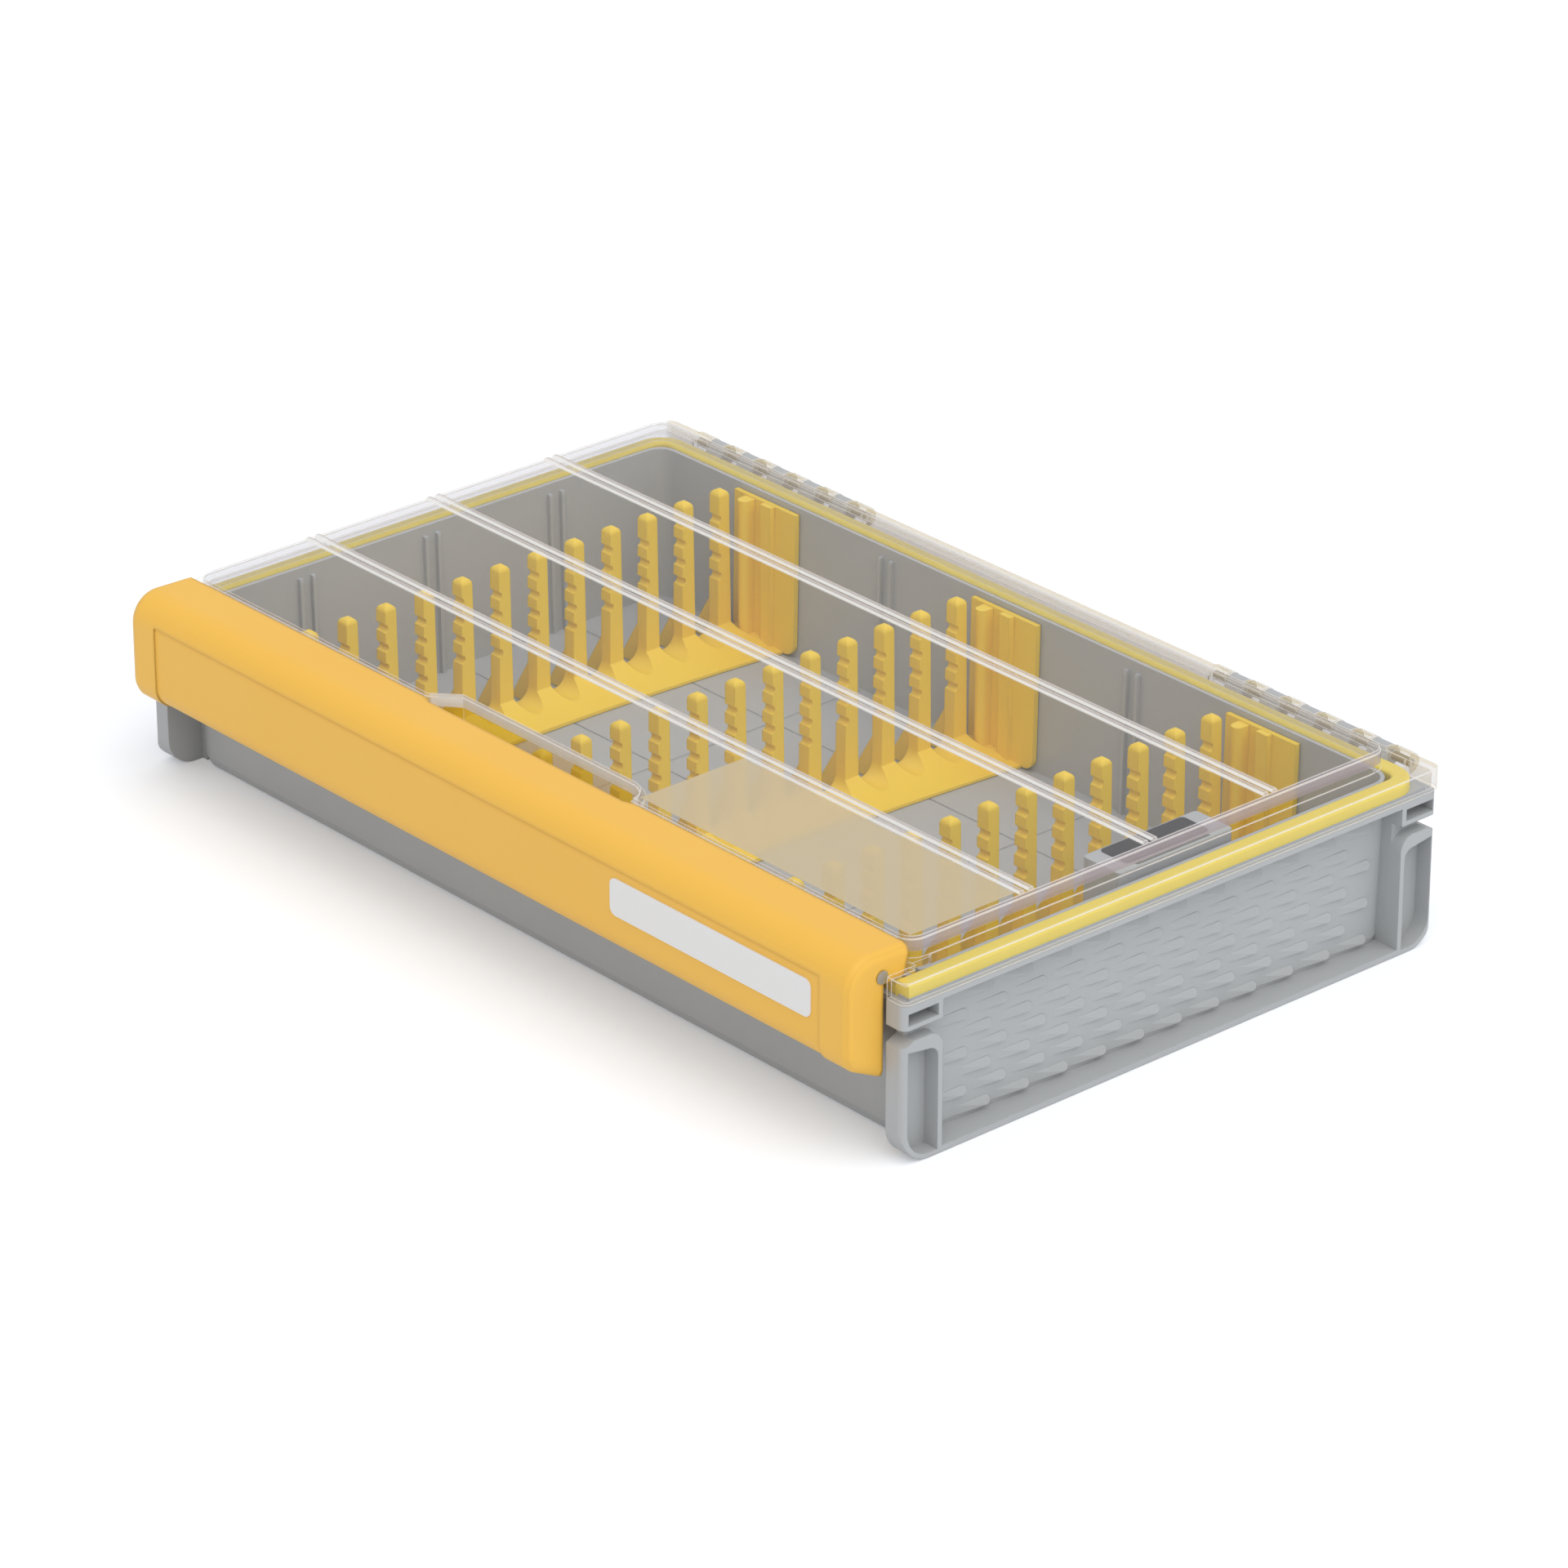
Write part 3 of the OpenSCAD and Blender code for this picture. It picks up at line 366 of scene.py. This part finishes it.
def band(value, low, high, soft):
    return both(ramp(value, low - soft, low + soft), ramp(value, high + soft, high - soft))


upright = band(faces[2], -UPRIGHT_FACING, UPRIGHT_FACING, FACING_SOFT)
above_panel = ramp(at[2], (PANEL_TOP_MM + RIB_START_MM[0]) * MM,
                   (PANEL_TOP_MM + RIB_START_MM[1]) * MM)
frost = both(band(at[0], FROST_X_MM[0] * MM, FROST_X_MM[1] * MM, MASK_SOFT_MM * MM),
             band(at[1], FROST_Y_MM[0] * MM, FROST_Y_MM[1] * MM, MASK_SOFT_MM * MM))
outer_side = ramp(shape["Backfacing"], 1.0, 0.0)
wall_band = both(upright, ramp(at[2], (WALL_BAND_MM - MASK_SOFT_MM) * MM,
                                (WALL_BAND_MM + MASK_SOFT_MM) * MM))
right_half = ramp(at[0], 0, MM)
end_wall_tint_and_light = both(both(wall_band, ramp(faces[0], *END_FACING)), both(outer_side, right_half))
notch_wall = both(upright, both(band(at[0], NOTCH_X_MM[0] * MM, NOTCH_X_MM[1] * MM, MASK_SOFT_MM * MM),
                                band(at[1], NOTCH_Y_MM[0] * MM, NOTCH_Y_MM[1] * MM, MASK_SOFT_MM * MM)))
# Mask for the painted highlight on the notch rim.
notch_rim_highlight = both(notch_wall, ramp(at[2], NOTCH_RIM_MM * MM, (NOTCH_RIM_MM + NOTCH_RIM_SOFT_MM) * MM))
# Mask for the painted yellow light from the seal near the hinge.
hinge_painted_yellow = ramp(at[1], (HINGE_BAND_MM - HINGE_SOFT_MM) * MM,
                  (HINGE_BAND_MM + HINGE_SOFT_MM) * MM)
# Masks for the painted highlight on the ribs' front faces and the painted shade on their rear faces.
rib_front_highlight = both(above_panel, ramp(faces[1], -RIB_FACING[0], -RIB_FACING[1]))
rib_rear_shade = both(above_panel, ramp(faces[1], *RIB_FACING))
# Mask for the painted highlight along the edges, from how much a small bevel turns the surface.
soft_edge = add(tree, "ShaderNodeBevel", {"samples": 6}, Radius=EDGE_BEVEL_MM * MM)
turn = add(tree, "ShaderNodeVectorMath", {"operation": "DOT_PRODUCT"}, _0=soft_edge.outputs[0],
           _1=shape["Normal"])
edge_highlight = ramp(turn.outputs["Value"], *EDGE_TURN)
print("lid masks done, nodes:", len(tree.nodes))

# %% [markdown]
# The layers go from broad to fine, and they paint light onto the clear plastic. The upright walls
# and the ribs get a pale painted sheen. The right end wall is violet-grey: partly the plastic's own
# colour, seen along the whole sheet, and partly painted light. The hinge band gets the seal's yellow
# as painted light and the notch walls the latch's yellow; the ribs' front faces, the notch rim and
# the edges get painted white highlights, and the ribs' rear faces painted shade.
#
# The frosted field is only on the panel's top skin, where the mould was roughened. Light that falls
# through the lid onto the racks passes nearly whole, as it does through a thin polished sheet.

# %% Lid layers
COAT_SHARE = 0.6
SHEET_VEIL = 0.022
FROST_DENSITY = 0.86
LEVEL_FACING = (0.5, 0.9)
TOP_SKIN_MM = (0.6, 0.3)

# Each entry is a mask, a strength and a tint of painted light. First, painted yellow light from the
# seal on the hinge band.
layers = ((hinge_painted_yellow, 0.3, "#D9C27E"),
          # painted pale sheen on the upright walls
          (wall_band, 0.22, "#EDE8E2"),
          # the right end wall: the plastic's own violet-grey seen along the sheet, partly painted light
          (end_wall_tint_and_light, 0.62, "#A598A4"),
          # the latch's yellow, painted on the notch walls as painted light
          (notch_wall, 0.3, "#FFD23C"),
          # painted white highlight on the notch rim
          (notch_rim_highlight, 0.82, "#FFFFFF"),
          # painted pale sheen on the ribs above the panel
          (above_panel, 0.45, "#DAD2D2"),
          # painted shade on the rear faces of the ribs
          (rib_rear_shade, 0.6, "#B9AFB2"),
          # painted white highlight on the front faces of the ribs
          (rib_front_highlight, 0.92, "#FFFFFF"),
          # painted white highlight along the edges
          (edge_highlight, 0.8, "#F7F3F1"))
# The mix strength and tint build up the painted light, layer by layer, over a faint haze of the sheet.
haze_and_painted_light, tint = SHEET_VEIL, colour("#E6E3E8")
for mask, strength, code in layers:
    haze_and_painted_light = add(tree, "ShaderNodeMix", _0=mask, _2=haze_and_painted_light, _3=strength).outputs[0]
    tint = add(tree, "ShaderNodeMix", {"data_type": "RGBA"}, _0=mask, _6=tint,
               _7=colour(code)).outputs[2]
see_through = add(tree, "ShaderNodeBsdfTransparent", Color=colour("#FCFCFD"))
painted_gathered_light = add(tree, "ShaderNodeBsdfPrincipled", Base_Color=tint, Roughness=0.3)
skin = add(tree, "ShaderNodeMixShader", _0=haze_and_painted_light, _1=see_through.outputs[0],
           _2=painted_gathered_light.outputs[0])
blur = add(tree, "ShaderNodeBsdfRefraction", Color=colour("#F0EADB"), Roughness=0.5, IOR=1.01)
pebbled = add(tree, "ShaderNodeBsdfPrincipled", Base_Color=colour("#C8B898"), Roughness=0.6)
frosted = add(tree, "ShaderNodeMixShader", _0=FROST_DENSITY, _1=blur.outputs[0], _2=pebbled.outputs[0])
level_face = add(tree, "ShaderNodeMath", {"operation": "ABSOLUTE"}, _0=faces[2]).outputs[0]
top_skin = ramp(at[2], (PANEL_TOP_MM - TOP_SKIN_MM[0]) * MM, (PANEL_TOP_MM - TOP_SKIN_MM[1]) * MM)
field = both(both(frost, top_skin), ramp(level_face, *LEVEL_FACING))
skin = add(tree, "ShaderNodeMixShader", _0=field, _1=skin.outputs[0], _2=frosted.outputs[0])
mirror_share = add(tree, "ShaderNodeFresnel", IOR=1.45)
mirror = add(tree, "ShaderNodeBsdfGlossy", Roughness=0.06)
coat = both(both(both(mirror_share.outputs[0], outer_side), ramp(frost, 1.0, 0.0)), COAT_SHARE)
coated = add(tree, "ShaderNodeMixShader", _0=coat, _1=skin.outputs[0], _2=mirror.outputs[0])
ray = add(tree, "ShaderNodeLightPath")
light_ray = add(tree, "ShaderNodeMath", {"operation": "MAXIMUM"}, _0=ray.outputs["Is Shadow Ray"],
                _1=ray.outputs["Is Diffuse Ray"])
passing = add(tree, "ShaderNodeBsdfTransparent", Color=colour("#FDFDFD"))
whole = add(tree, "ShaderNodeMixShader", _0=light_ray.outputs[0], _1=coated.outputs[0],
            _2=passing.outputs[0])
add(tree, "ShaderNodeOutputMaterial", Surface=whole.outputs[0])
dress(["lid"], clear)
print("lid layers:", len(layers), "nodes:", len(tree.nodes))

# %% [markdown]
# ## Grip pads on the end walls
# Both end walls carry rows of small pads, flush at the front end and rising to a half-round rear
# end, like shallow louvres that stand out most along their lower edge. They are surface texture, so
# they are made here: one pad outline is repeated over the rows with a loop, every second row is
# shifted, and each pad follows the slight draft of the wall.

# %% Grip pads
WALL_X_MM = 171.2
WALL_DRAFT_MM = 1.0
WALL_LOW_MM = 4.0
WALL_HIGH_MM = 51.2
PAD_LENGTH_MM = 12.5
PAD_HALF_MM = 1.5
PAD_RISE_MM = 1.3
PAD_UPPER_SHARE = 0.2
PAD_PITCH_MM = 15.45
PAD_ROW_PITCH_MM = 6.3
PAD_TOP_ROW_MM = 49.4
PAD_ROWS = 8
PADS_IN_ROW = 11
PAD_FIRST_END_MM = {0: -76.9, 1: -67.4}
PAD_ARC_STEPS = 8
PAD_SUNK_MM = 0.4


def wall_x(z):
    return WALL_X_MM - WALL_DRAFT_MM * (WALL_HIGH_MM - z) / (WALL_HIGH_MM - WALL_LOW_MM)


def pad_outline():
    start = -PAD_LENGTH_MM
    arc = [(-PAD_HALF_MM + PAD_HALF_MM * math.cos(a), PAD_HALF_MM * math.sin(a))
           for a in (math.pi * (k / PAD_ARC_STEPS - 0.5) for k in range(PAD_ARC_STEPS + 1))]
    return [(start, -PAD_HALF_MM), *arc, (start, PAD_HALF_MM)]


def grip_pads(side):
    build = bmesh.new()
    outline = pad_outline()
    for row in range(PAD_ROWS):
        z_mid = PAD_TOP_ROW_MM - row * PAD_ROW_PITCH_MM
        for k in range(PADS_IN_ROW):
            end = PAD_FIRST_END_MM[row % 2] + k * PAD_PITCH_MM
            tops, feet = [], []
            for y, z in outline:
                along = (y + PAD_LENGTH_MM) / PAD_LENGTH_MM
                down = (PAD_HALF_MM - z) / (2 * PAD_HALF_MM)
                rise = PAD_RISE_MM * along * (PAD_UPPER_SHARE + (1 - PAD_UPPER_SHARE) * down)
                at_wall = wall_x(z_mid + z)
                tops.append(build.verts.new(point_mm(side * (at_wall + rise), end + y, z_mid + z)))
                feet.append(build.verts.new(point_mm(side * (at_wall - PAD_SUNK_MM), end + y,
                                                     z_mid + z)))
            build.faces.new(tops)
            build.faces.new(feet[::-1])
            for n in range(len(outline)):
                m = (n + 1) % len(outline)
                build.faces.new((tops[n], feet[n], feet[m], tops[m]))
    bmesh.ops.recalc_face_normals(build, faces=build.faces)
    mesh = bpy.data.meshes.new("grip_pads")
    build.to_mesh(mesh)
    build.free()
    mesh.materials.append(pad_plastic)
    return mesh


for side, name in ((1, "grip_pads_right"), (-1, "grip_pads_left")):
    pads = bpy.data.objects.new(name, grip_pads(side))
    bpy.context.scene.collection.objects.link(pads)
    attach(pads, "tray_body")
print("grip pads on each end wall:", PAD_ROWS * PADS_IN_ROW)
